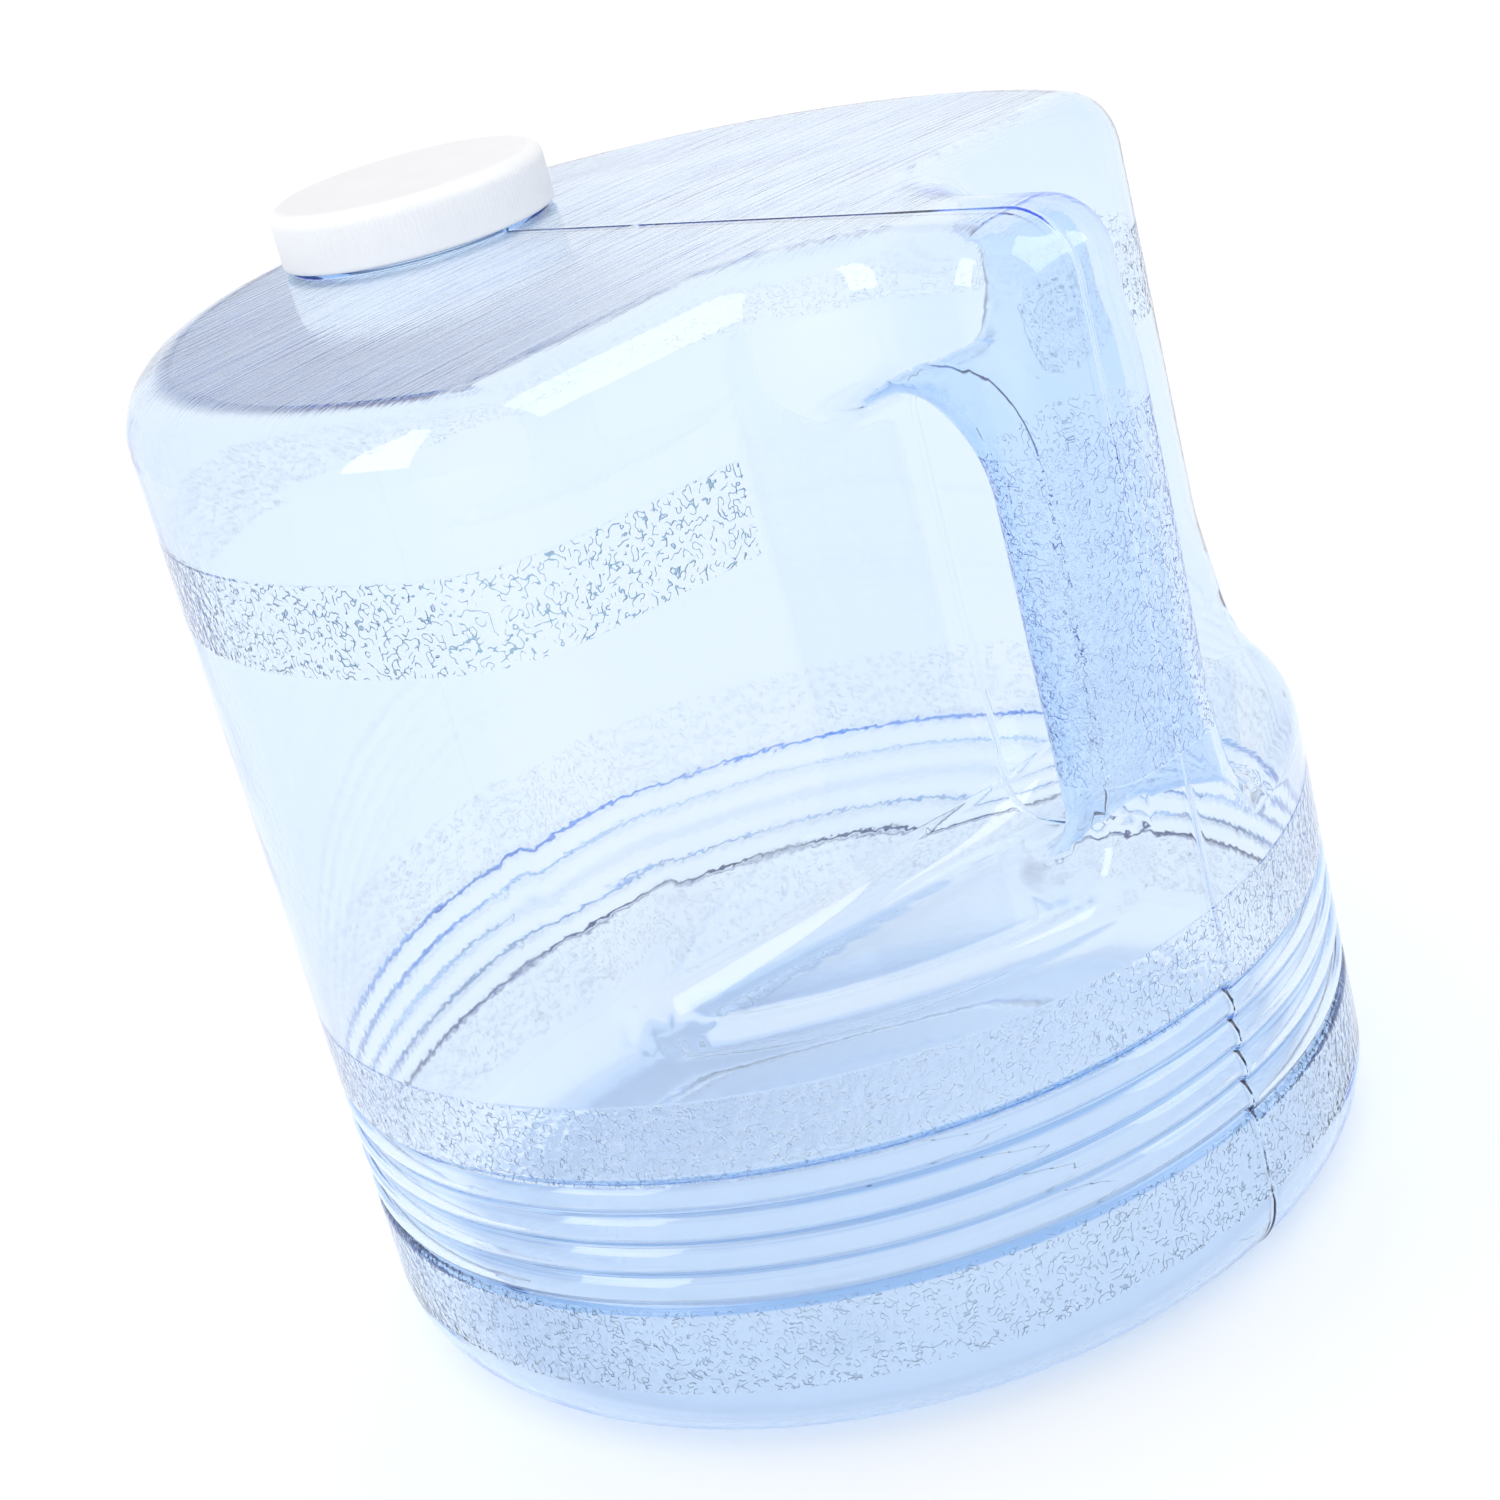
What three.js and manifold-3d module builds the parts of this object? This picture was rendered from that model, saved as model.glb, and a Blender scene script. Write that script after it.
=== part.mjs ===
// Large water jug: a blow-moulded bottle with an integral handle, a screw cap and the cap's sealing liner.
// Millimetres, +Z up. The origin is on the floor under the middle of the round body; +X points at the handle.
import * as THREE from 'three';
import { mergeVertices } from 'three/addons/utils/BufferGeometryUtils.js';
import Module from 'manifold-3d';

const wasm = await Module();
wasm.setup();

// ---- Driving dimensions ----

// Round body
const BODY_R = 110;
const WALL = 1.6;
const BASE_CORNER_R = 16;
const PUNT_R = 70;
const PUNT_RISE = 3;
const STAND_RING_R = 76;
const DECK_Z = 221;
const DECK_FLAT_R = 66;
const DECK_RIM_DROP = 1.4;
const SHOULDER_R = 13;
const BODY_SEGMENTS = 64;
const CORNER_STEPS = 3;

// Band of ribs round the lower body
const RIB_LOW_Z = 35;
const RIB_PITCH = 7;
const RIB_COUNT = 4;
const RIB_DEPTH = 2.2;

// Pocket in front of the upright core wall, around the handle
const PANEL_X = 64;
const PANEL_SIDE_X = 59;
const PANEL_SIDE_Y = 45;
const PANEL_END_X = 50;
const PANEL_END_Y = 116;
const PANEL_STEPS = 10;
const LEDGE_Z = 95;
const LEDGE_FILLET_R = 8;
const LEDGE_CHAMFER = 5;

// Handle
const HANDLE_HALF_W = 19;
const HANDLE_BACK_X = 89.5;
const HANDLE_EDGE_R = 9;
const GAP_TOP_Z = 191;
const GAP_ARCH_R = 17;
const HANDLE_FOOT_R = 10;
const BRIDGE_FILLET_R = 14;
const WEB_LOW_Z = 194;

// Neck and its outside thread
const NECK_X = -68.4;
const BORE_R = 23.8;
const NECK_R = 25.9;
const NECK_RIM_Z = 231;
const COLLAR_R = 28.8;
const COLLAR_TOP_Z = 221.6;
const COLLAR_SLOPE = 0.6;
const NECK_ROOT_Z = 212;
const NECK_SEGMENTS = 40;
const THREAD_PITCH = 5;
const THREAD_LOW_Z = 224;
const THREAD_TURNS = 1.1;
const NECK_BEAD_R = 1.3;
const THREAD_STEPS = 30;
const BEAD_SIDES = 6;

// Cap and liner
const CAP_R = 30.4;
const CAP_INNER_R = 28.4;
const CAP_LOW_Z = 222;
const CAP_TOP_Z = 234.7;
const CAP_TOP_THICKNESS = 2;
const CAP_EDGE_R = 3.2;
const CAP_BEAD_R = 1.2;
const CAP_BEAD_CENTRE_R = 27.9;
const LINER_R = 28;
const LINER_THICKNESS = 1.1;
const CLEARANCE = 0.3;

// Solids that cut or reach into another run on past its surface by this much
const OVERRUN = 30;

// ---- Solids from three.js geometry ----

function toSolid(geometry) {
  geometry.deleteAttribute('normal');
  geometry.deleteAttribute('uv');
  const merged = mergeVertices(geometry, 1e-4);
  const vertProperties = new Float32Array(merged.attributes.position.array);
  const triVerts = new Uint32Array(merged.index.array);
  return new wasm.Manifold(new wasm.Mesh({ numProp: 3, vertProperties, triVerts }));
}

function toMesh(name, solid, material) {
  const { numProp, vertProperties, triVerts } = solid.getMesh();
  const geometry = new THREE.BufferGeometry();
  geometry.setAttribute('position', new THREE.BufferAttribute(vertProperties, numProp));
  geometry.setIndex(new THREE.BufferAttribute(triVerts, 1));
  geometry.computeVertexNormals();
  const mesh = new THREE.Mesh(geometry, material);
  mesh.name = name;
  return mesh;
}

// Turns a profile of [radius, z] pairs about the Z axis, then moves it along X.
function revolve(profile, segments, x = 0) {
  const points = profile.map(([radius, z]) => new THREE.Vector2(radius, z));
  const geometry = new THREE.LatheGeometry(points, segments);
  geometry.rotateX(Math.PI / 2);
  geometry.rotateZ(Math.PI / 2);
  geometry.translate(x, 0, 0);
  return toSolid(geometry);
}

// Extrudes an outline over a length centred on its plane, with all its edges rounded off inside the outline.
function extrudeRounded(shape, length, edgeRadius) {
  const geometry = new THREE.ExtrudeGeometry(shape, {
    depth: length - 2 * edgeRadius,
    bevelThickness: edgeRadius,
    bevelSize: edgeRadius,
    bevelOffset: -edgeRadius,
    bevelSegments: 3,
    curveSegments: 5,
  });
  geometry.translate(0, 0, edgeRadius - length / 2);
  return geometry;
}

// Points on a quarter circle, from one angle to the other in degrees.
function arcPoints(centreR, centreZ, radius, fromDeg, toDeg) {
  const points = [];
  for (let i = 0; i <= CORNER_STEPS; i += 1) {
    const angle = THREE.MathUtils.degToRad(THREE.MathUtils.lerp(fromDeg, toDeg, i / CORNER_STEPS));
    points.push([centreR + radius * Math.cos(angle), centreZ + radius * Math.sin(angle)]);
  }
  return points;
}

// ---- Bottle ----

// Outside of the rib band: each rib is a low arch between two narrow grooves.
function ribProfile() {
  const points = [];
  for (let i = 0; i < RIB_COUNT; i += 1) {
    const low = RIB_LOW_Z + i * RIB_PITCH;
    points.push([BODY_R - RIB_DEPTH, low]);
    points.push([BODY_R, low + RIB_PITCH / 3]);
    points.push([BODY_R, low + (2 * RIB_PITCH) / 3]);
  }
  points.push([BODY_R - RIB_DEPTH, RIB_LOW_Z + RIB_COUNT * RIB_PITCH]);
  return points;
}

// Inside of the rib band, a shallow recess that keeps the wall whole behind the grooves.
function ribRecess(inset) {
  const high = RIB_LOW_Z + RIB_COUNT * RIB_PITCH;
  const radius = BODY_R - RIB_DEPTH - inset;
  return [[radius, RIB_LOW_Z], [radius, high]];
}

// The full round body before the pocket is taken out, shrunk all over by the inset.
function roundBody(inset) {
  const ribHigh = RIB_LOW_Z + RIB_COUNT * RIB_PITCH;
  const radius = BODY_R - inset;
  const cornerCentreR = BODY_R - BASE_CORNER_R;
  const shoulderCentreR = BODY_R - SHOULDER_R;
  const shoulderCentreZ = DECK_Z - DECK_RIM_DROP - SHOULDER_R;
  return revolve([
    [0, PUNT_RISE + inset],
    [PUNT_R, PUNT_RISE + inset],
    [STAND_RING_R, inset],
    ...arcPoints(cornerCentreR, BASE_CORNER_R, BASE_CORNER_R - inset, -90, 0),
    [radius, RIB_LOW_Z - 1],
    ...(inset > 0 ? ribRecess(inset) : ribProfile()),
    [radius, ribHigh + 1],
    ...arcPoints(shoulderCentreR, shoulderCentreZ, SHOULDER_R - inset, 0, 90),
    [DECK_FLAT_R, DECK_Z - inset],
    [0, DECK_Z - inset],
  ], BODY_SEGMENTS);
}

// Everything in front of the upright core wall and above the ledge, with a filleted foot.
function frontSpace(inset) {
  const side = (sign) => [
    new THREE.Vector2(PANEL_END_X - inset, sign * PANEL_END_Y),
    new THREE.Vector2(PANEL_SIDE_X - inset, sign * PANEL_SIDE_Y),
  ];
  const wall = new THREE.SplineCurve([
    ...side(1),
    new THREE.Vector2(PANEL_X - inset, 0),
    ...side(-1).reverse(),
  ]);
  const outline = new THREE.Shape(wall.getPoints(PANEL_STEPS));
  outline.lineTo(BODY_R + OVERRUN, -PANEL_END_Y);
  outline.lineTo(BODY_R + OVERRUN, PANEL_END_Y);
  const low = LEDGE_Z - inset;
  const high = DECK_Z + OVERRUN;
  const geometry = extrudeRounded(outline, high - low, LEDGE_FILLET_R + inset);
  geometry.translate(0, 0, (low + high) / 2);
  return toSolid(geometry);
}

// Ring that takes the sharp outer edge off the ledge.
function ledgeEdge(inset) {
  const radius = BODY_R - inset;
  const top = LEDGE_Z - inset;
  const chamfer = LEDGE_CHAMFER - inset * (2 - Math.SQRT2);
  const ring = revolve([
    [radius - chamfer, top],
    [radius + chamfer, top - 2 * chamfer],
    [radius + chamfer, top + chamfer],
    [radius - chamfer, top + chamfer],
    [radius - chamfer, top],
  ], BODY_SEGMENTS);
  const box = new THREE.BoxGeometry(BODY_R, 2 * BODY_R, 2 * BODY_R);
  box.translate(PANEL_SIDE_X + BODY_R / 2, 0, LEDGE_Z);
  return ring.intersect(toSolid(box));
}

// The handle: an upright grip, an arched bridge to the deck and a fillet where the grip meets the ledge.
function gripAndArch(inset) {
  const back = HANDLE_BACK_X + inset;
  const front = BODY_R + OVERRUN;
  const low = LEDGE_Z - inset;
  const foot = low - OVERRUN;
  const archR = GAP_ARCH_R + inset;
  const archTop = GAP_TOP_Z + inset;
  const footR = HANDLE_FOOT_R + inset;
  const outline = new THREE.Shape();
  outline.moveTo(PANEL_END_X, DECK_Z + OVERRUN);
  outline.lineTo(PANEL_END_X, archTop);
  outline.absarc(back - archR, archTop - archR, archR, Math.PI / 2, 0, true);
  outline.absarc(back - footR, low + footR, footR, 0, -Math.PI / 2, true);
  outline.lineTo(back - footR, foot);
  outline.lineTo(front, foot);
  outline.lineTo(front, DECK_Z + OVERRUN);
  const geometry = extrudeRounded(outline, 2 * (HANDLE_HALF_W - inset), HANDLE_EDGE_R - inset);
  geometry.rotateX(Math.PI / 2);
  return toSolid(geometry);
}

// Web that fillets both sides of the bridge into the core wall, seen from above.
function bridgeWeb(inset) {
  const halfW = HANDLE_HALF_W - inset;
  const filletR = BRIDGE_FILLET_R + inset;
  const wallX = PANEL_SIDE_X - inset;
  const outline = new THREE.Shape();
  outline.moveTo(wallX, halfW + filletR);
  outline.absarc(wallX + filletR, halfW + filletR, filletR, Math.PI, 1.5 * Math.PI, false);
  outline.absarc(wallX + filletR, -halfW - filletR, filletR, Math.PI / 2, Math.PI, false);
  const geometry = new THREE.ExtrudeGeometry(outline, {
    depth: OVERRUN + DECK_Z - WEB_LOW_Z,
    bevelEnabled: false,
    curveSegments: 5,
  });
  geometry.translate(0, 0, WEB_LOW_Z + inset);
  return toSolid(geometry);
}

// The bottle's volume, shrunk by the inset: the round body less the pocket on both sides of the handle.
function bottleVolume(inset) {
  const handle = gripAndArch(inset).add(bridgeWeb(inset));
  const pocket = frontSpace(inset).add(ledgeEdge(inset)).subtract(handle);
  return roundBody(inset).subtract(pocket);
}

// ---- Screw thread ----

class Helix extends THREE.Curve {
  constructor(radius, lowZ, startTurn, turns) {
    super();
    this.radius = radius;
    this.lowZ = lowZ;
    this.startTurn = startTurn;
    this.turns = turns;
  }

  getPoint(t, target = new THREE.Vector3()) {
    const angle = 2 * Math.PI * (this.startTurn + this.turns * t);
    const z = this.lowZ + THREAD_PITCH * this.turns * t;
    return target.set(NECK_X + this.radius * Math.cos(angle), this.radius * Math.sin(angle), z);
  }
}

// A round-backed thread that climbs anticlockwise, half sunk in the wall that carries it.
function threadBead(centreR, beadR, startTurn) {
  const section = new THREE.Shape();
  for (let i = 0; i < BEAD_SIDES; i += 1) {
    const angle = (2 * Math.PI * i) / BEAD_SIDES;
    const corner = [beadR * Math.cos(angle), beadR * Math.sin(angle)];
    if (i === 0) section.moveTo(...corner);
    else section.lineTo(...corner);
  }
  const extrudePath = new Helix(centreR, THREAD_LOW_Z, startTurn, THREAD_TURNS);
  return toSolid(new THREE.ExtrudeGeometry(section, { steps: THREAD_STEPS, extrudePath }));
}

// ---- The three pieces ----

function makeBottle() {
  const neck = revolve([
    [0, NECK_ROOT_Z],
    [COLLAR_R, NECK_ROOT_Z],
    [COLLAR_R, COLLAR_TOP_Z],
    [NECK_R, COLLAR_TOP_Z + COLLAR_SLOPE],
    [NECK_R, NECK_RIM_Z],
    [0, NECK_RIM_Z],
  ], NECK_SEGMENTS, NECK_X);
  const bore = revolve([
    [0, NECK_ROOT_Z - 1],
    [BORE_R, NECK_ROOT_Z - 1],
    [BORE_R, NECK_RIM_Z + 1],
    [0, NECK_RIM_Z + 1],
  ], NECK_SEGMENTS, NECK_X);
  return bottleVolume(0)
    .add(neck)
    .add(threadBead(NECK_R, NECK_BEAD_R, 0))
    .subtract(bottleVolume(WALL))
    .subtract(bore);
}

function makeCap() {
  const ceiling = CAP_TOP_Z - CAP_TOP_THICKNESS;
  const shell = revolve([
    [0, ceiling],
    [CAP_INNER_R, ceiling],
    [CAP_INNER_R, CAP_LOW_Z],
    [CAP_R, CAP_LOW_Z],
    ...arcPoints(CAP_R - CAP_EDGE_R, CAP_TOP_Z - CAP_EDGE_R, CAP_EDGE_R, 0, 90),
    [0, CAP_TOP_Z],
  ], NECK_SEGMENTS, NECK_X);
  return shell.add(threadBead(CAP_BEAD_CENTRE_R, CAP_BEAD_R, 0.5));
}

function makeLiner() {
  const low = NECK_RIM_Z + CLEARANCE;
  return revolve([
    [0, low],
    [LINER_R, low],
    [LINER_R, low + LINER_THICKNESS],
    [0, low + LINER_THICKNESS],
  ], NECK_SEGMENTS, NECK_X);
}

// ---- Materials and scene graph ----

const clearBlue = new THREE.MeshStandardMaterial({
  color: 0xc4dcf7,
  roughness: 0.08,
  metalness: 0,
  transparent: true,
  opacity: 0.45,
});
const whitePlastic = new THREE.MeshStandardMaterial({ color: 0xf4f5f6, roughness: 0.45, metalness: 0 });
const whiteFoam = new THREE.MeshStandardMaterial({ color: 0xe9eaec, roughness: 0.85, metalness: 0 });

const jug = new THREE.Group();
jug.add(toMesh('jug_body', makeBottle(), clearBlue));

const closure = new THREE.Group();
closure.add(toMesh('screw_cap', makeCap(), whitePlastic));
closure.add(toMesh('cap_liner', makeLiner(), whiteFoam));
jug.add(closure);

export default jug;
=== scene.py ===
# Large water jug: the look of a clear blue blow-moulded bottle, its white screw cap and the cap's liner.
# Shapes are worked out in millimetres in the frame's own axes and stored in metres.
import math

import bpy
import numpy as np
from mathutils import Matrix, Vector


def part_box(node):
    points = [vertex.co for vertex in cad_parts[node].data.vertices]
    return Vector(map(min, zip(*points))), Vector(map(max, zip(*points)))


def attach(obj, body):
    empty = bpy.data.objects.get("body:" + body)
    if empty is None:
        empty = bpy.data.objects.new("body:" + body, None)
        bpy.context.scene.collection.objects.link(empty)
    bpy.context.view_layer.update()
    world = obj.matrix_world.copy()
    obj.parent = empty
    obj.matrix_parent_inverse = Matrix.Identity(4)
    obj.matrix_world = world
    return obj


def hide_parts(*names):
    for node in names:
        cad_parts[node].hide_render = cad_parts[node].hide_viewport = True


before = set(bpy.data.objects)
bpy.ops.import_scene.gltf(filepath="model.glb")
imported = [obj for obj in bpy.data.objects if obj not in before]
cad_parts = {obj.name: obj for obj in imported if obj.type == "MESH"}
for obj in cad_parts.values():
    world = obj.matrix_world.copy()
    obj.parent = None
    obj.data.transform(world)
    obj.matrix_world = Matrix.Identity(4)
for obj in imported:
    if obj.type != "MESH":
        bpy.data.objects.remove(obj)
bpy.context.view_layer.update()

MM = 0.001

# ---- Sizes in millimetres, from the frame ----

body_low, body_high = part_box("jug_body")
cap_low, cap_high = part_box("screw_cap")
liner_low, liner_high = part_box("cap_liner")

BODY_R = body_high.x / MM
RIM_Z = body_high.z / MM
NECK_X = (cap_low.x + cap_high.x) / 2 / MM
CAP_R = (cap_high.x - cap_low.x) / 2 / MM
CAP_LOW_Z = cap_low.z / MM
CAP_TOP_Z = cap_high.z / MM
LINER_R = (liner_high.x - liner_low.x) / 2 / MM
LINER_LOW_Z = liner_low.z / MM
LINER_TOP_Z = liner_high.z / MM

# Bottle
WALL = 1.6
LOW_WALL = 1.2
LOW_WALL_Z = (60, 115)
HANDLE_EXTRA_WALL = 0.6
BASE_CORNER_R = 16.0
PUNT_RISE = 3.5
PUNT_R = (64.0, 80.0)
DECK_Z = 221.0
DECK_CAMBER = 2.6
SHOULDER_R = 13.0
RIB_LOW_Z = 35.0
RIB_PITCH = 7.0
RIB_COUNT = 4
RIB_HIGH_Z = RIB_LOW_Z + RIB_COUNT * RIB_PITCH
RIB_DEPTH = 1.9
GROOVE_SOFTNESS = 0.018

# Pocket: its panel leans back to both sides from a rounded nose
PANEL_X = 64.0
PANEL_SLOPE = 0.133
PANEL_NOSE_R = 8.0
LEDGE_Z = 95.5
LEDGE_FILLET_R = 8.0
LEDGE_EDGE_R = 6.0
UPPER_EDGE_R = 14.0
GRIP_EDGE_R = 10.5
EDGE_POWER = 2.5
EDGE_CHANGE_Z = (98, 125)

# Handle and finger gap: pairs hold the value at the grip's foot and the value at its top
GRIP_TAPER_Z = (105, 165)
GRIP_HALF_WIDTH = (18.0, 19.5)
GRIP_BACK_X = (88.8, 90.8)
GRIP_CORNER_R = (10.0, 9.0)
GRIP_FRONT_X = (76, 90)
GRIP_END_Z = (185, 205)
BRIDGE_FLARE = 4.5
BRIDGE_FLARE_X = (60, 82)
GAP_TOP_Z = 191.0
GAP_SAG = 3.5
GAP_SAG_X = (60, 76)
GAP_ARCH_R = 20.0
GAP_FILLET_R = 5.0
HANDLE_FILLET_R = 12.0
GAP_FILLET_LOW_Z = (110, 130)
GAP_FILLET_HIGH_Z = (188, 200)

# Parting line
SEAM_HEIGHT = 0.12
SEAM_HALF_WIDTH = 0.45
RIB_MISMATCH = 0.7
MISMATCH_HALF_WIDTH = 0.8

# Pebble texture: the lowest and highest point of each band and of the grip
PEBBLE_BANDS = ((16.5, 35.0), (62.9, 81.0))
PEBBLE_UPPER = (170.7, 188.8)
PEBBLE_FRONT_Y = 44.0
GRIP_TEXTURE = (114.0, 180.0)
GRIP_TEXTURE_X = 80.0
# How strong the painted shade in the pebble strokes is on the grip and on the two low bands, against 1 on the
# upper band
GRIP_STROKE_SHADE = 0.25
LOW_STROKE_SHADE = 0.65
STROKE_SHADE_CHANGE_Z = (100, 120)

# Largest step of the bottle's mesh
FINE_STEP = 2.0

# Neck
BORE_R = 23.8
NECK_R = 25.9
COLLAR_R = 28.8
COLLAR_TOP_Z = 221.6
THREAD_PITCH = 5.0
THREAD_LOW_Z = 224.0
THREAD_TURNS = 1.1
NECK_BEAD = 1.3

# Cap
CAP_WALL = 2.0
CAP_EDGE_R = 3.2
CAP_BEAD = 1.7
CAP_BEAD_HALF_HEIGHT = 1.2
KNURLS = 180
KNURL_DEPTH = 0.16


# ---- Distance fields ----

def smooth(value, low, high):
    """0 below low, 1 above high, with a smooth step between them."""
    t = np.clip((value - low) / (high - low), 0, 1)
    return t * t * (3 - 2 * t)


def between(start, end, amount):
    """The value the given share of the way from start to end."""
    return start + (end - start) * amount


def meet(a, b, radius, power=2.0):
    """Where both fields are inside, with the edge between them rounded to the radius. A power over 2 lets
    the round edge run out softly into the faces beside it."""
    near_a, near_b = np.maximum(radius + a, 0), np.maximum(radius + b, 0)
    return np.minimum(-radius, np.maximum(a, b)) + (near_a ** power + near_b ** power) ** (1 / power)


def wall_radius(x, y, z):
    """Radius of the round wall at each height: low arches between grooves in the rib band.
    The two mould halves meet with the ribs a little out of line at the front."""
    z = z + RIB_MISMATCH * np.tanh(y / MISMATCH_HALF_WIDTH) * smooth(x, -40, 40)
    arch = np.sqrt(np.sin(np.pi * (z - RIB_LOW_Z) / RIB_PITCH) ** 2 + GROOVE_SOFTNESS)
    in_band = (z > RIB_LOW_Z) & (z < RIB_HIGH_Z)
    edge = np.clip(np.maximum(RIB_LOW_Z - z, z - RIB_HIGH_Z) / 2.2, 0, 1)
    lip = np.sqrt(edge * (2 - edge) + GROOVE_SOFTNESS)
    return BODY_R - RIB_DEPTH * (1 - np.minimum(np.where(in_band, arch, lip), 1))


def bottle(x, y, z, inner=False):
    """Signed distance to the bottle's outside without its neck; negative inside."""
    radius = np.hypot(x, y)
    side = radius - wall_radius(x, y, z)
    deck = z - DECK_Z + DECK_CAMBER * (y / BODY_R) ** 2
    base = PUNT_RISE * (1 - smooth(radius, *PUNT_R)) - z
    body = meet(meet(side, deck, SHOULDER_R), base, BASE_CORNER_R)

    bow = np.hypot(y, PANEL_NOSE_R) - PANEL_NOSE_R
    panel = (x - PANEL_X + PANEL_SLOPE * bow) * math.cos(math.atan(PANEL_SLOPE))
    ledge = z - LEDGE_Z
    front = meet(-panel, -ledge, LEDGE_FILLET_R)

    taper = smooth(z, *GRIP_TAPER_Z)
    half_width = between(*GRIP_HALF_WIDTH, taper) + BRIDGE_FLARE * (1 - smooth(x, *BRIDGE_FLARE_X))
    gap_top = GAP_TOP_Z - GAP_SAG * (1 - smooth(x, *GAP_SAG_X))
    gap = meet(x - between(*GRIP_BACK_X, taper), z - gap_top, GAP_ARCH_R)
    handle = meet(np.abs(y) - half_width, -gap, between(*GRIP_CORNER_R, taper))
    beside_gap = smooth(z, *GAP_FILLET_LOW_Z) * (1 - smooth(z, *GAP_FILLET_HIGH_Z))
    pocket = meet(front, -handle, between(HANDLE_FILLET_R, GAP_FILLET_R, beside_gap))

    in_front = smooth(x, *GRIP_FRONT_X)
    above_ledge = smooth(z, *EDGE_CHANGE_Z)
    upper_edge = between(UPPER_EDGE_R, GRIP_EDGE_R, in_front * (1 - smooth(z, *GRIP_END_Z)))
    field = meet(body, -pocket, between(LEDGE_EDGE_R, upper_edge, above_ledge), EDGE_POWER)
    if inner:
        wall = between(LOW_WALL, WALL, smooth(z, *LOW_WALL_Z))
        return field + wall + HANDLE_EXTRA_WALL * in_front * above_ledge
    seam = np.exp(-(y / SEAM_HALF_WIDTH) ** 2) * smooth(z, 0.2, 2.5)
    in_ribs = smooth(z, RIB_LOW_Z - 2, RIB_LOW_Z) * (1 - smooth(z, RIB_HIGH_Z, RIB_HIGH_Z + 2))
    return field - SEAM_HEIGHT * (1 + smooth(x, 60, 80) * (1 + in_ribs)) * seam


# ---- Surfaces from fields ----

def stations(*stretches):
    """Positions along a line: each stretch is (start, end, largest step)."""
    lines = [np.linspace(a, b, math.ceil((b - a) / step) + 1)[:-1] for a, b, step in stretches]
    return np.concatenate(lines + [[stretches[-1][1]]])


def polar_grid(step):
    """Radii, angles and heights of the sampling grid. It is closest in the rib band, at the parting plane
    and around the pocket and the handle."""
    rib_step = 0.38 * min(step, FINE_STEP)
    arc = math.degrees(step / BODY_R)
    radii = stations((0, 60, 1.6 * step), (60, BODY_R + 2 * step, step))
    near_seam = np.array([0.12, 0.36, 0.7])
    first, front_end = 1.15, 62
    side = stations((first, front_end, 0.9 * arc), (front_end, 180 - first, 1.9 * arc))
    half = np.concatenate([near_seam, side, 180 - near_seam[::-1]])
    angles = np.radians(np.concatenate([half, 360 - half[::-1]]))
    heights = stations((-3, RIB_LOW_Z - 3, step), (RIB_LOW_Z - 3, RIB_HIGH_Z + 3, rib_step),
                       (RIB_HIGH_Z + 3, 198, 1.1 * step), (198, DECK_Z + 4, 0.6 * step))
    return radii, angles, heights


CORNERS = [(i, j, k) for i in (0, 1) for j in (0, 1) for k in (0, 1)]
EDGES = [(a, b) for a in range(8) for b in range(a + 1, 8)
         if sum(p != q for p, q in zip(CORNERS[a], CORNERS[b])) == 1]


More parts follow.
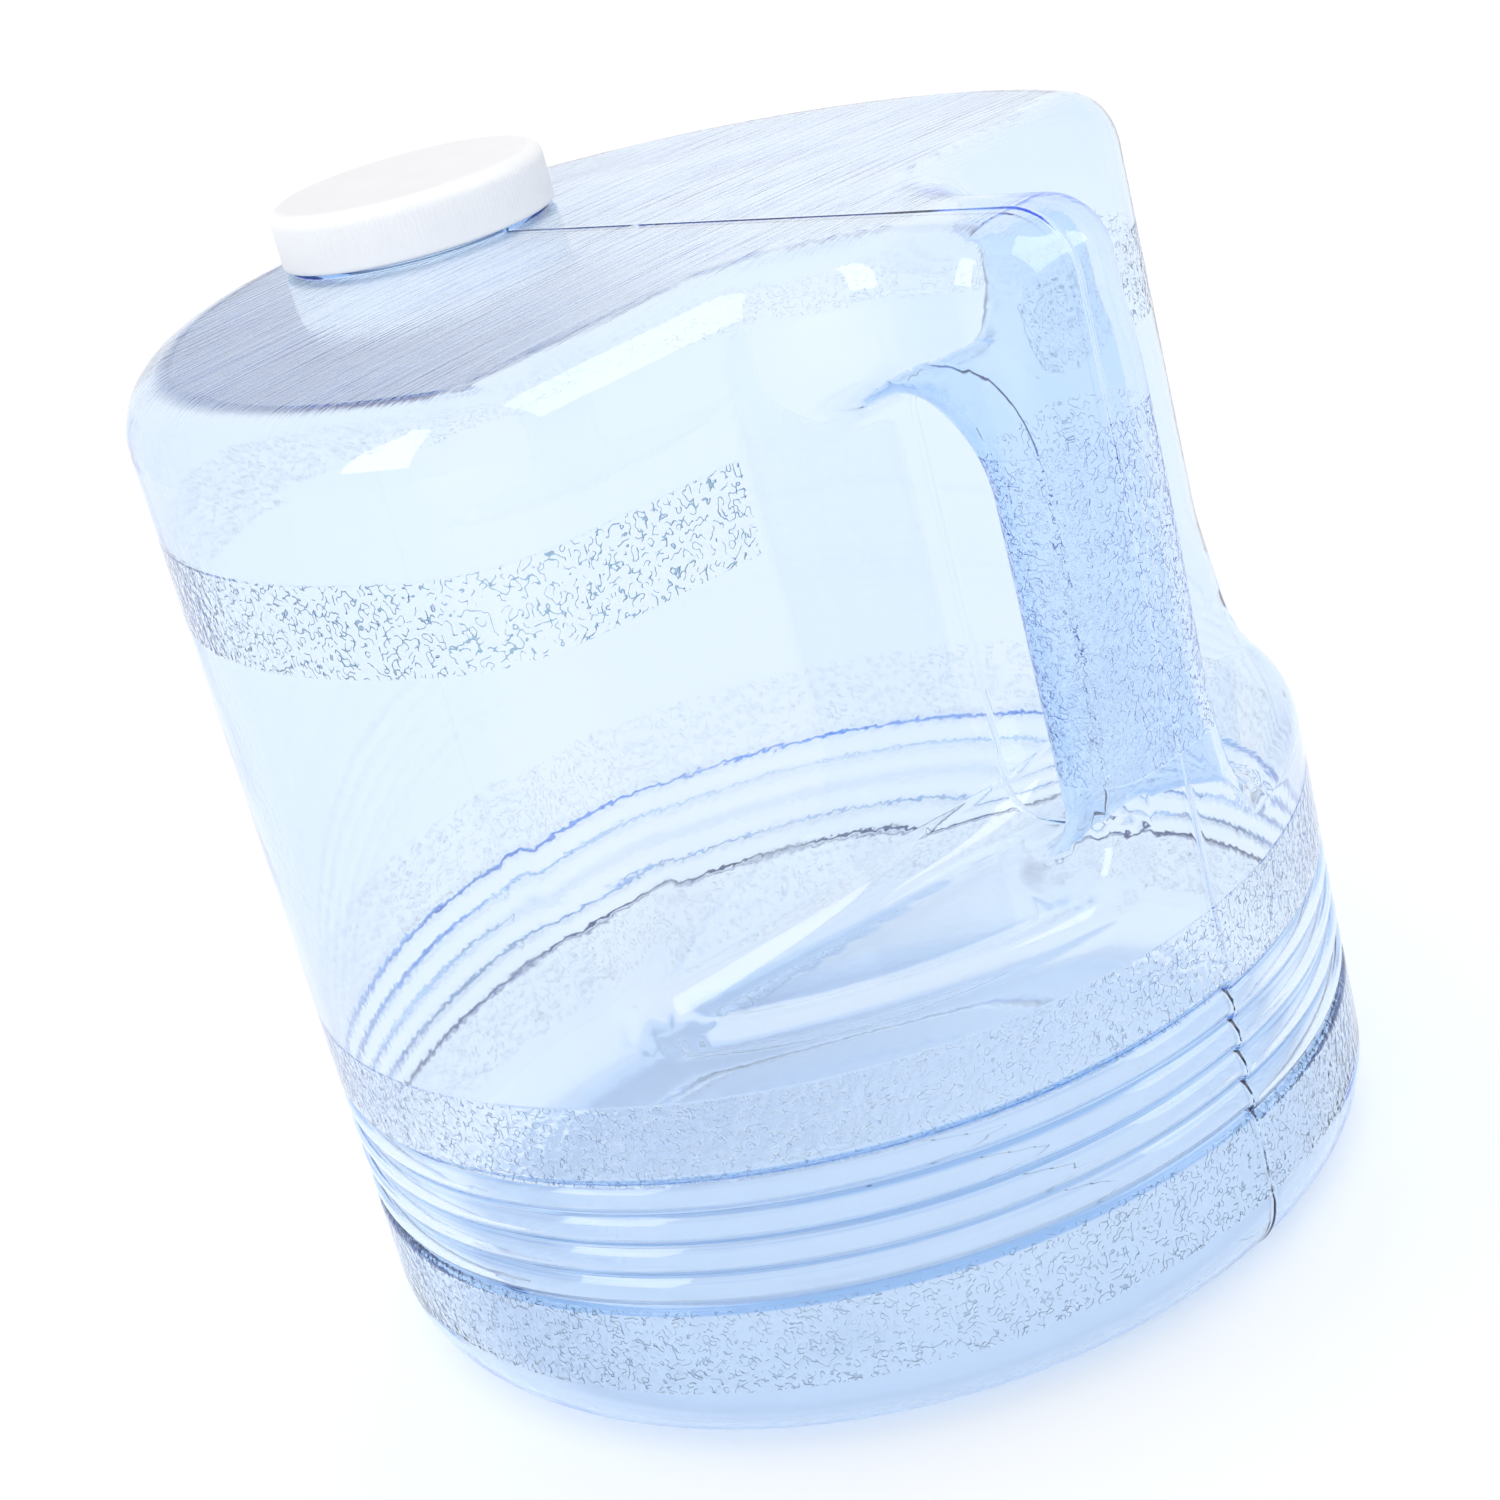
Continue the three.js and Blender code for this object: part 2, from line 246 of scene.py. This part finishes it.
def surface(field, step):
    """Vertices and faces of the field's zero surface, on a polar grid, by surface nets."""
    radii, angles, heights = polar_grid(step)
    nr, nt, nz = len(radii), len(angles), len(heights)
    rr, tt, zz = np.meshgrid(radii, angles, heights, indexing="ij")
    values = field(rr * np.cos(tt), rr * np.sin(tt), zz)
    wrapped = np.concatenate([values, values[:, :1]], axis=1)
    inside = wrapped < 0

    count = sum(inside[i:nr - 1 + i, j:nt + j, k:nz - 1 + k].astype(np.int8) for i, j, k in CORNERS)
    cells = np.argwhere((count > 0) & (count < 8))
    number = np.full((nr - 1, nt, nz - 1), -1)
    number[tuple(cells.T)] = np.arange(len(cells))

    corner_values = np.stack([wrapped[cells[:, 0] + i, cells[:, 1] + j, cells[:, 2] + k]
                              for i, j, k in CORNERS], axis=1)
    total = np.zeros((len(cells), 3))
    hits = np.zeros(len(cells))
    for a, b in EDGES:
        va, vb = corner_values[:, a], corner_values[:, b]
        crossed = (va < 0) != (vb < 0)
        t = np.where(crossed, va / np.where(crossed, va - vb, 1), 0)[:, None]
        point = np.array(CORNERS[a]) * (1 - t) + np.array(CORNERS[b]) * t
        total += np.where(crossed[:, None], point, 0)
        hits += crossed
    place = cells + total / hits[:, None]
    angle_line = np.concatenate([angles, [angles[0] + 2 * np.pi]])
    r = np.interp(place[:, 0], np.arange(nr), radii)
    t = np.interp(place[:, 1], np.arange(nt + 1), angle_line)
    z = np.interp(place[:, 2], np.arange(nz), heights)
    points = np.stack([r * np.cos(t), r * np.sin(t), z], axis=1)

    faces = []
    along_r = inside[:-1, :nt, 1:-1] != inside[1:, :nt, 1:-1]
    i, j, k = np.nonzero(along_r)
    k += 1
    before = (j - 1) % nt
    quad = np.stack([number[i, before, k - 1], number[i, j, k - 1], number[i, j, k], number[i, before, k]], 1)
    faces.append(np.where(inside[i, j, k][:, None], quad, quad[:, ::-1]))
    along_t = inside[1:-1, :-1, 1:-1] != inside[1:-1, 1:, 1:-1]
    i, j, k = np.nonzero(along_t)
    i += 1
    k += 1
    quad = np.stack([number[i - 1, j, k - 1], number[i - 1, j, k], number[i, j, k], number[i, j, k - 1]], 1)
    faces.append(np.where(inside[i, j, k][:, None], quad, quad[:, ::-1]))
    along_z = inside[1:-1, :nt, :-1] != inside[1:-1, :nt, 1:]
    i, j, k = np.nonzero(along_z)
    i += 1
    before = (j - 1) % nt
    quad = np.stack([number[i - 1, before, k], number[i, before, k], number[i, j, k], number[i - 1, j, k]], 1)
    faces.append(np.where(inside[i, j, k][:, None], quad, quad[:, ::-1]))
    quads = np.concatenate(faces).tolist()
    fans = []
    for k in np.nonzero(inside[0, 0, :-1] != inside[0, 0, 1:])[0]:
        ring = number[0, :, k]
        centre = len(points)
        points = np.vstack([points, [0, 0, points[ring, 2].mean()]])
        turn = [(ring[j], ring[(j + 1) % nt], centre) for j in range(nt)]
        fans += turn if inside[0, 0, k] else [t[::-1] for t in turn]

    for _ in range(5):
        points = points - step_to_surface(field, points)
    return points, quads + fans


def slope_of(field, points):
    """The field's slope at each point."""
    h = 0.02
    return np.stack([(field(*(points + axis).T) - field(*(points - axis).T)) / (2 * h)
                     for axis in np.eye(3) * h], axis=1)


def step_to_surface(field, points):
    """The move that takes each point off the zero surface, from the field's slope."""
    slope = slope_of(field, points)
    size = np.maximum((slope ** 2).sum(1), 0.05)
    move = slope * (field(*points.T) / size)[:, None]
    length = np.maximum(np.linalg.norm(move, axis=1), 1e-9)[:, None]
    return move * np.minimum(1, 0.8 / length)


def add_mesh(name, points, faces, material, smooth_faces=True):
    mesh = bpy.data.meshes.new(name)
    mesh.from_pydata((np.asarray(points) * MM).tolist(), [], [list(f) for f in faces])
    mesh.validate()
    mesh.polygons.foreach_set("use_smooth", [smooth_faces] * len(mesh.polygons))
    if material:
        mesh.materials.append(material)
    mesh.update()
    piece = bpy.data.objects.new(name, mesh)
    bpy.context.scene.collection.objects.link(piece)
    return piece


def revolved(name, rows, material, segments):
    """A closed turned solid about the neck's axis. rows holds a function of angle for each (radius, z) row;
    the first and last rows lie on the axis or meet each other."""
    angles = np.linspace(0, 2 * np.pi, segments, endpoint=False)
    points, faces, starts = [], [], []
    for row in rows:
        radius, z = row(angles)
        radius = np.broadcast_to(radius, angles.shape)
        z = np.broadcast_to(z, angles.shape)
        starts.append(len(points))
        if np.allclose(radius, 0):
            points.append((NECK_X, 0, float(z[0])))
        else:
            points += list(zip(NECK_X + radius * np.cos(angles), radius * np.sin(angles), z))
    sizes = [b - a for a, b in zip(starts, starts[1:] + [len(points)])]
    for a, b, na, nb in zip(starts, starts[1:], sizes, sizes[1:]):
        for j in range(segments):
            nxt = (j + 1) % segments
            if na == 1:
                faces.append((a, b + nxt, b + j))
            elif nb == 1:
                faces.append((a + j, a + nxt, b))
            else:
                faces.append((a + j, a + nxt, b + nxt, b + j))
    return add_mesh(name, points, faces, material)


def turned(radius, z):
    """A plain row for revolved(): one radius and height all round."""
    return lambda angles: (np.full_like(angles, radius), np.full_like(angles, z))


def bead(angles, z, start_turn, half_height):
    """Height of a screw thread's ridge at each angle, 0 to 1, fading in and out at its ends."""
    level = 0
    for turn in range(-2, 4):
        along = angles / (2 * np.pi) + turn - start_turn
        distance = (z - THREAD_LOW_Z - THREAD_PITCH * along) / half_height
        ends = smooth(along, 0, 0.06) * (1 - smooth(along, THREAD_TURNS - 0.06, THREAD_TURNS))
        ridge = np.clip(1 - distance ** 2, 0, 1) ** 0.5 * ends
        level = np.maximum(level, ridge)
    return level


def threaded(radius, height, z, start_turn, half_height):
    """A row for revolved() that crosses a screw thread."""
    def row(angles):
        return radius + height * bead(angles, z, start_turn, half_height), np.full_like(angles, z)
    return row


def combine(piece, other, operation):
    """Joins or cuts the piece with another closed mesh, then removes the other."""
    modifier = piece.modifiers.new("combine", "BOOLEAN")
    modifier.operation = operation
    modifier.object = other
    modifier.solver = "MANIFOLD"
    depsgraph = bpy.context.evaluated_depsgraph_get()
    result = bpy.data.meshes.new_from_object(piece.evaluated_get(depsgraph))
    piece.modifiers.clear()
    piece.data = result
    bpy.data.objects.remove(other)


# ---- Materials ----

class Material:
    """A Principled material being built: shorthand for adding nodes and joining them."""

    def __init__(self, name):
        self.data = bpy.data.materials.new(name)
        self.data.use_nodes = True
        self.tree = self.data.node_tree
        self.tree.nodes.clear()
        self.output = self.node("OutputMaterial")
        self.shader = self.node("BsdfPrincipled")
        self.link(self.shader.outputs["BSDF"], self.output.inputs["Surface"])

    def node(self, kind, settings=None, **inputs):
        """A new node of the kind, with its settings and its inputs, by name with _ for a space."""
        node = self.tree.nodes.new("ShaderNode" + kind)
        for key, value in (settings or {}).items():
            setattr(node, key, value)
        for key, value in inputs.items():
            self.put(node.inputs[key.replace("_", " ")], value)
        return node

    def link(self, source, target):
        self.tree.links.new(source, target)

    def put(self, socket, value):
        """Sets an input to a value, or joins it to another node's output."""
        if isinstance(value, bpy.types.NodeSocket):
            self.link(value, socket)
        else:
            socket.default_value = value

    def set(self, **inputs):
        for key, value in inputs.items():
            self.put(self.shader.inputs[key.replace("_", " ")], value)

    def place(self, scale=(1, 1, 1)):
        """Object coordinates in metres, stretched by the scale."""
        coordinates = self.node("TexCoord").outputs["Object"]
        return self.node("Mapping", Vector=coordinates, Scale=scale).outputs["Vector"]

    def along(self, axis):
        """The object coordinate along the axis X, Y or Z, in millimetres."""
        millimetres = self.place((1 / MM, 1 / MM, 1 / MM))
        return self.node("SeparateXYZ", Vector=millimetres).outputs[axis]

    def noise(self, scale, detail=1.0, vector=None):
        where = vector or self.place()
        return self.node("TexNoise", Vector=where, Scale=scale, Detail=detail).outputs["Fac"]

    def math(self, operation, *values):
        node = self.node("Math", {"operation": operation})
        for socket, value in zip(node.inputs, values):
            self.put(socket, value)
        return node.outputs["Value"]

    def fit(self, value, low, high, to_low=0.0, to_high=1.0):
        """The value carried from low..high to to_low..to_high and held between them."""
        node = self.node("MapRange", Value=value, From_Min=low, From_Max=high, To_Min=to_low, To_Max=to_high)
        return node.outputs["Result"]

    def mix(self, amount, a, b):
        """A colour between a and b."""
        node = self.node("Mix", {"data_type": "RGBA"})
        self.put(node.inputs["Factor"], amount)
        self.put(node.inputs[6], a)
        self.put(node.inputs[7], b)
        return node.outputs[2]

    def bump(self, height, distance, normal=None):
        node = self.node("Bump", Height=height, Distance=distance, Strength=1.0)
        if normal is not None:
            self.link(normal, node.inputs["Normal"])
        return node.outputs["Normal"]

    def attribute(self, name):
        return self.node("Attribute", {"attribute_name": name}).outputs["Fac"]


def pebble_strokes(material):
    """1 along the short wandering strokes of the pebble texture and 0 between them: the grooves of its
    relief, where its painted shade also lies.
    """
    wander = material.noise(680.0, 0.3)
    line = material.fit(material.math("ABSOLUTE", material.math("SUBTRACT", wander, 0.5)), 0.042, 0.014)
    return material.math("MULTIPLY", line, material.fit(material.noise(560.0, 0.0), 0.58, 0.52))


def painted_groove_shade(material):
    """Painted shade: fine dark lines that run round the wall in a zone about each groove of the rib band,
    strongest at each groove's crease, 0 to 1. They step at the parting line as the ribs do."""
    step = material.math("TANH", material.math("DIVIDE", material.along("Y"), MISMATCH_HALF_WIDTH))
    step = material.math("MULTIPLY", step, material.fit(material.along("X"), -30, 30))
    height = material.math("MULTIPLY_ADD", step, RIB_MISMATCH, material.along("Z"))
    turns = material.fit(height, RIB_LOW_Z, RIB_HIGH_Z, 0.5, RIB_COUNT + 0.5)
    distance = material.math("ABSOLUTE", material.math("SUBTRACT", material.math("FRACT", turns), 0.5))
    zone = material.fit(distance, 0.25, 0.10)
    band = material.math("MINIMUM", material.fit(height, RIB_LOW_Z - 1.6, RIB_LOW_Z - 1.2),
                         material.fit(height, RIB_HIGH_Z + 1.8, RIB_HIGH_Z + 1.4))
    lines = material.fit(material.noise(1.0, 2.0, material.place((9.0, 9.0, 1500.0))), 0.42, 0.62, 0.15, 1.0)
    crease_shade = material.fit(distance, 0.05, 0.02)
    groove_shade = material.math("MAXIMUM", material.math("MULTIPLY", zone, lines), crease_shade)
    return material.math("MULTIPLY", groove_shade, material.math("MULTIPLY", band, material.attribute("outside")))


def clear_blue_plastic():
    """Clear blue polycarbonate: pebble texture where the mesh says so, with painted shade in its strokes,
    fine streaks on the deck and painted shade lines round the rib band's grooves."""
    material = Material("clear_blue_plastic")
    pebble = material.fit(material.attribute("pebble"), -0.2, 0.2)
    groove = material.math("MULTIPLY", pebble, pebble_strokes(material))
    grain = material.math("MULTIPLY", pebble, material.noise(520.0, 1.0))
    entering = material.math("SUBTRACT", 1.0, material.node("NewGeometry").outputs["Backfacing"])
    near = material.fit(entering, 0.0, 1.0, 0.22, 1.0)
    relief = material.math("MULTIPLY", near, material.math("SUBTRACT", grain, groove))
    deck_height = material.fit(material.along("Z"), DECK_Z - 6, DECK_Z - 2)
    on_deck = material.math("MULTIPLY", material.attribute("outside"), deck_height)
    streaks = material.noise(1.0, 3.0, material.place((900.0, 22.0, 22.0)))

    normal = material.bump(material.noise(28.0, 1.0), 0.00015)
    normal = material.bump(material.noise(450.0, 1.0), 0.000008, normal)
    normal = material.bump(material.math("MULTIPLY", on_deck, streaks), 0.00006, normal)
    normal = material.bump(relief, 0.00026, normal)
    tint = material.mix(pebble, (0.975, 0.991, 1.0, 1), (0.995, 1.0, 1.0, 1))
    # Painted shade: dark blue lines in and about the rib grooves
    tint = material.mix(material.math("MULTIPLY", near, painted_groove_shade(material)), tint, (0.30, 0.52, 0.84, 1))
    # Painted shade: the pebble strokes darkened to deep blue-grey, as shade in the grooves of the relief
    stroke_shade = material.math("MULTIPLY", groove, material.math("MULTIPLY", near, material.attribute("stroke_shade")))
    tint = material.mix(stroke_shade, tint, (0.13, 0.27, 0.37, 1))
    material.set(Base_Color=tint, Transmission_Weight=1.0, IOR=1.58, Normal=normal,
                 Roughness=material.fit(material.noise(60.0, 2.0), 0.3, 0.7, 0.02, 0.04))
    absorb = material.node("VolumeAbsorption", Color=(0.26, 0.61, 0.985, 1), Density=97.0)
    material.link(absorb.outputs["Volume"], material.output.inputs["Volume"])

    lit = material.node("BsdfTransparent", Color=(1, 1, 1, 1))
    path = material.node("LightPath")
    mix = material.node("MixShader")
    material.link(path.outputs["Is Shadow Ray"], mix.inputs["Fac"])
    material.link(material.shader.outputs["BSDF"], mix.inputs[1])
    material.link(lit.outputs["BSDF"], mix.inputs[2])
    material.link(mix.outputs["Shader"], material.output.inputs["Surface"])
    return material.data


def white_cap_plastic():
    """White polypropylene with a fine satin grain and faint flow marks."""
    material = Material("white_cap_plastic")
    flow = material.fit(material.noise(90.0, 3.0), 0.3, 0.7)
    grain = material.noise(2600.0, 2.0)
    material.set(Base_Color=material.mix(flow, (0.89, 0.893, 0.905, 1), (0.915, 0.917, 0.925, 1)),
                 Roughness=material.fit(grain, 0.3, 0.7, 0.34, 0.5),
                 Normal=material.bump(grain, 0.00002))
    return material.data


def white_liner_foam():
    """White foam with closed cells."""
    material = Material("white_liner_foam")
    cells = material.node("TexVoronoi", Vector=material.place(), Scale=1500.0).outputs["Distance"]
    colour = material.mix(material.fit(cells, 0.0, 0.6), (0.80, 0.80, 0.81, 1), (0.88, 0.88, 0.885, 1))
    material.set(Base_Color=colour, Roughness=material.fit(cells, 0.0, 0.6, 0.7, 0.9),
                 Normal=material.bump(cells, 0.00008))
    return material.data


# ---- Pieces ----

def pebble_depth(x, y, z):
    """How far each point lies inside the textured areas, in millimetres; negative outside them."""
    def depth(ends):
        return np.minimum(z - ends[0], ends[1] - z)

    bands = np.maximum(*[depth(band) for band in PEBBLE_BANDS])
    upper = depth(PEBBLE_UPPER)
    upper = np.where(x > 0, np.minimum(upper, np.abs(y) - PEBBLE_FRONT_Y), upper)
    grip = np.minimum(depth(GRIP_TEXTURE), x - GRIP_TEXTURE_X)
    grip = np.where(np.abs(y) < PEBBLE_FRONT_Y / 2, grip, -1)
    return np.clip(np.maximum(np.maximum(bands, upper), grip), -2, 2)


def finish_surface(piece):
    """Gives the bottle exact normals from its fields, and marks its textured areas and how strong the painted
    shade in their strokes is.
    """
    mesh = piece.data
    points = np.empty(len(mesh.vertices) * 3)
    mesh.vertices.foreach_get("co", points)
    points = points.reshape(-1, 3) / MM
    mesh.set_sharp_from_angle(angle=math.radians(40))
    corner = np.empty(len(mesh.loops), dtype=np.int64)
    mesh.loops.foreach_get("vertex_index", corner)
    normals = np.empty(len(mesh.loops) * 3)
    mesh.corner_normals.foreach_get("vector", normals)
    normals = normals.reshape(-1, 3)
    layers = ((bottle, 1), (lambda x, y, z: bottle(x, y, z, inner=True), -1))
    on_outside = None
    for field, side in layers:
        on_layer = np.abs(field(*points.T)) < 0.02
        slope = slope_of(field, points) * side
        slope /= np.maximum(np.linalg.norm(slope, axis=1), 1e-9)[:, None]
        agrees = (normals * slope[corner]).sum(1) > 0.7
        use = on_layer[corner] & agrees
        normals[use] = slope[corner][use]
        on_outside = on_layer if on_outside is None else on_outside
    mesh.normals_split_custom_set(normals.tolist())

    x, y, z = points.T
    # Strength of the painted shade in the pebble strokes: weaker on the grip and on the two low bands
    on_grip = smooth(x, GRIP_TEXTURE_X - 8, GRIP_TEXTURE_X) * (np.abs(y) < PEBBLE_FRONT_Y)
    on_grip = on_grip * (z > STROKE_SHADE_CHANGE_Z[0])
    low_bands = 1 - smooth(z, *STROKE_SHADE_CHANGE_Z)
    marks = {"pebble": np.where(on_outside, pebble_depth(x, y, z), -2),
             "stroke_shade": (1 - (1 - GRIP_STROKE_SHADE) * on_grip) * (1 - (1 - LOW_STROKE_SHADE) * low_bands),
             "outside": 1.0 * on_outside}
    for name, values in marks.items():
        mesh.attributes.new(name, "FLOAT", "POINT").data.foreach_set("value", values.astype(np.float32))


def make_bottle(material):
    step = FINE_STEP
    points, faces = surface(bottle, step)
    inner_points, inner_faces = surface(lambda x, y, z: bottle(x, y, z, inner=True), 2.0 * step)
    offset = len(points)
    flipped = [[offset + v for v in reversed(face)] for face in inner_faces]
    piece = add_mesh("bottle", np.vstack([points, inner_points]), list(faces) + flipped, material)

    plug_rows = [turned(0, 220.1), turned(COLLAR_R, 220.1), turned(COLLAR_R, COLLAR_TOP_Z - 0.5),
                 turned(COLLAR_R - 0.5, COLLAR_TOP_Z), turned(NECK_R + 0.6, COLLAR_TOP_Z + 0.15),
                 turned(NECK_R, COLLAR_TOP_Z + 0.7)]
    for z in np.arange(COLLAR_TOP_Z + 1.0, RIM_Z - 0.3, 0.2):
        plug_rows.append(threaded(NECK_R, NECK_BEAD, z, 0.0, NECK_BEAD))
    plug_rows += [turned(NECK_R - 0.25, RIM_Z - 0.07), turned(NECK_R - 0.5, RIM_Z), turned(0, RIM_Z)]
    plug = revolved("plug", plug_rows, material, 144)
    combine(piece, plug, "UNION")
    bore_rows = [turned(0, 205), turned(BORE_R, 205), turned(BORE_R, RIM_Z - 0.5),
                 turned(BORE_R + 0.15, RIM_Z - 0.15), turned(BORE_R + 0.5, RIM_Z + 0.05),
                 turned(BORE_R + 0.5, RIM_Z + 2), turned(0, RIM_Z + 2)]
    bore = revolved("bore", bore_rows, material, 144)
    combine(piece, bore, "DIFFERENCE")
    finish_surface(piece)
    return piece


def knurled(radius, z, depth):
    """A row for revolved() with the cap's knurls cut into it."""
    def row(angles):
        wave = 0.5 + 0.5 * np.cos(KNURLS * angles)
        return radius - depth * wave, np.full_like(angles, z)
    return row


def make_cap(material):
    ceiling = CAP_TOP_Z - CAP_WALL
    inner_r = CAP_R - CAP_WALL
    rows = [turned(0, ceiling), turned(inner_r - 0.5, ceiling), turned(inner_r, ceiling - 0.5)]
    for z in np.arange(ceiling - 1.0, CAP_LOW_Z + 0.4, -0.25):
        rows.append(threaded(inner_r, -CAP_BEAD, z, 0.5, CAP_BEAD_HALF_HEIGHT))
    rows += [turned(inner_r + 0.3, CAP_LOW_Z), turned(CAP_R - 0.4, CAP_LOW_Z),
             turned(CAP_R - 0.1, CAP_LOW_Z + 0.2), turned(CAP_R, CAP_LOW_Z + 0.5),
             turned(CAP_R, CAP_LOW_Z + 1.0)]
    for z in np.linspace(CAP_LOW_Z + 1.3, CAP_TOP_Z - CAP_EDGE_R - 0.3, 6):
        fade = min(z - CAP_LOW_Z - 1.2, 0.8) / 0.8
        rows.append(knurled(CAP_R, z, KNURL_DEPTH * fade))
    for angle in np.radians(np.linspace(0, 90, 9)):
        radius = CAP_R - CAP_EDGE_R * (1 - math.cos(angle))
        z = CAP_TOP_Z - CAP_EDGE_R * (1 - math.sin(angle))
        rows.append(knurled(radius, z, KNURL_DEPTH * math.cos(angle) ** 4))
    rows += [turned(CAP_R * 0.8, CAP_TOP_Z - 0.02), turned(0, CAP_TOP_Z - 0.1)]
    return revolved("cap", rows, material, KNURLS * 4)


def make_liner(material):
    edge = 0.25
    rows = [turned(0, LINER_LOW_Z), turned(LINER_R - 5, LINER_LOW_Z), turned(LINER_R - edge, LINER_LOW_Z),
            turned(LINER_R, LINER_LOW_Z + edge), turned(LINER_R, LINER_TOP_Z - edge),
            turned(LINER_R - edge, LINER_TOP_Z), turned(0, LINER_TOP_Z)]
    return revolved("liner", rows, material, 128)


# ---- Floor, light and camera ----

def make_floor():
    material = Material("floor")
    material.set(Base_Color=(0.96, 0.964, 0.97, 1), Roughness=0.9, Emission_Color=(0.97, 0.985, 1.0, 1),
                 Emission_Strength=0.045)
    size = 6000
    corners = [(-size, -size, 0), (size, -size, 0), (size, size, 0), (-size, size, 0)]
    floor = add_mesh("floor", np.array(corners) - [0, 0, 0.2], [(0, 1, 2, 3)], material.data)


def direction(azimuth, elevation):
    """A unit vector at the azimuth and elevation, in degrees."""
    a, e = math.radians(azimuth), math.radians(elevation)
    return Vector((math.cos(a) * math.cos(e), math.sin(a) * math.cos(e), math.sin(e)))


def make_softbox(name, azimuth, elevation, distance, width, height, radiance, mirrored):
    """A rectangular light that faces the jug's shoulder. A mirrored one shows as a soft window in its gloss,
    and the others light what is matt."""
    aim = Vector((0, 0, 0.2))
    light = bpy.data.lights.new(name, "AREA")
    light.shape = "RECTANGLE"
    light.size = width
    light.size_y = height
    light.energy = radiance * math.pi * width * height
    lamp = bpy.data.objects.new(name, light)
    lamp.location = aim + distance * direction(azimuth, elevation)
    lamp.rotation_euler = direction(azimuth, elevation).to_track_quat("Z", "Y").to_euler()
    bpy.context.scene.collection.objects.link(lamp)
    lamp.visible_camera = False
    lamp.visible_transmission = False
    lamp.visible_diffuse = not mirrored
    lamp.visible_glossy = mirrored


def make_world():
    """A white studio with one soft lavender-grey area low on the far side."""
    world = bpy.data.worlds.new("studio")
    world.use_nodes = True
    tree = world.node_tree
    background = tree.nodes["Background"]
    coordinates = tree.nodes.new("ShaderNodeTexCoord")
    toward = tree.nodes.new("ShaderNodeVectorMath")
    toward.operation = "DOT_PRODUCT"
    toward.inputs[1].default_value = direction(148, 21)
    ramp = tree.nodes.new("ShaderNodeValToRGB")
    ramp.color_ramp.elements[0].position = math.cos(math.radians(14))
    ramp.color_ramp.elements[0].color = (1.0, 1.0, 1.0, 1)
    ramp.color_ramp.elements[1].position = math.cos(math.radians(5))
    ramp.color_ramp.elements[1].color = (0.22, 0.18, 0.29, 1)
    tree.links.new(coordinates.outputs["Generated"], toward.inputs[0])
    tree.links.new(toward.outputs["Value"], ramp.inputs["Fac"])
    tree.links.new(ramp.outputs["Color"], background.inputs["Color"])
    background.inputs["Strength"].default_value = 1.05
    bpy.context.scene.world = world


def make_camera():
    """A camera in front of the handle's right, a little above the deck and leaning to one side."""
    azimuth, roll = -41.68, math.radians(-14.98)
    distance = 679.1 * MM
    target = Vector((-22.0, 12.5, 95.8)) * MM
    back = direction(azimuth, 21.09)
    right = Vector((-math.sin(math.radians(azimuth)), math.cos(math.radians(azimuth)), 0))
    up = back.cross(right)
    tilted_right = math.cos(roll) * right + math.sin(roll) * up
    tilted_up = math.cos(roll) * up - math.sin(roll) * right
    camera = bpy.data.cameras.new("camera")
    camera.sensor_width = 36.0
    camera.lens = 72.8928
    view = bpy.data.objects.new("camera", camera)
    rotation = Matrix((tilted_right, tilted_up, back)).transposed()
    view.matrix_world = Matrix.Translation(target + back * distance) @ rotation.to_4x4()
    bpy.context.scene.collection.objects.link(view)
    bpy.context.scene.camera = view


make_camera()
make_world()
make_floor()
make_softbox("window_left", -104, 36, 1.7, 0.7, 1.3, 3.2, mirrored=True)
make_softbox("window_right", 36, 36, 1.7, 1.2, 1.3, 2.4, mirrored=True)
make_softbox("fill", -62, 14, 2.0, 1.5, 1.5, 1.2, mirrored=False)

bottle_piece = make_bottle(clear_blue_plastic())
cap_piece = make_cap(white_cap_plastic())
liner_piece = make_liner(white_liner_foam())

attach(bottle_piece, "jug")
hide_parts("jug_body")
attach(cap_piece, "cap")
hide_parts("screw_cap")
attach(liner_piece, "liner")
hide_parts("cap_liner")

scene = bpy.context.scene
scene.view_settings.view_transform = "Standard"
scene.cycles.max_bounces = 32
scene.cycles.glossy_bounces = 32
scene.cycles.transmission_bounces = 32
scene.cycles.transparent_max_bounces = 16
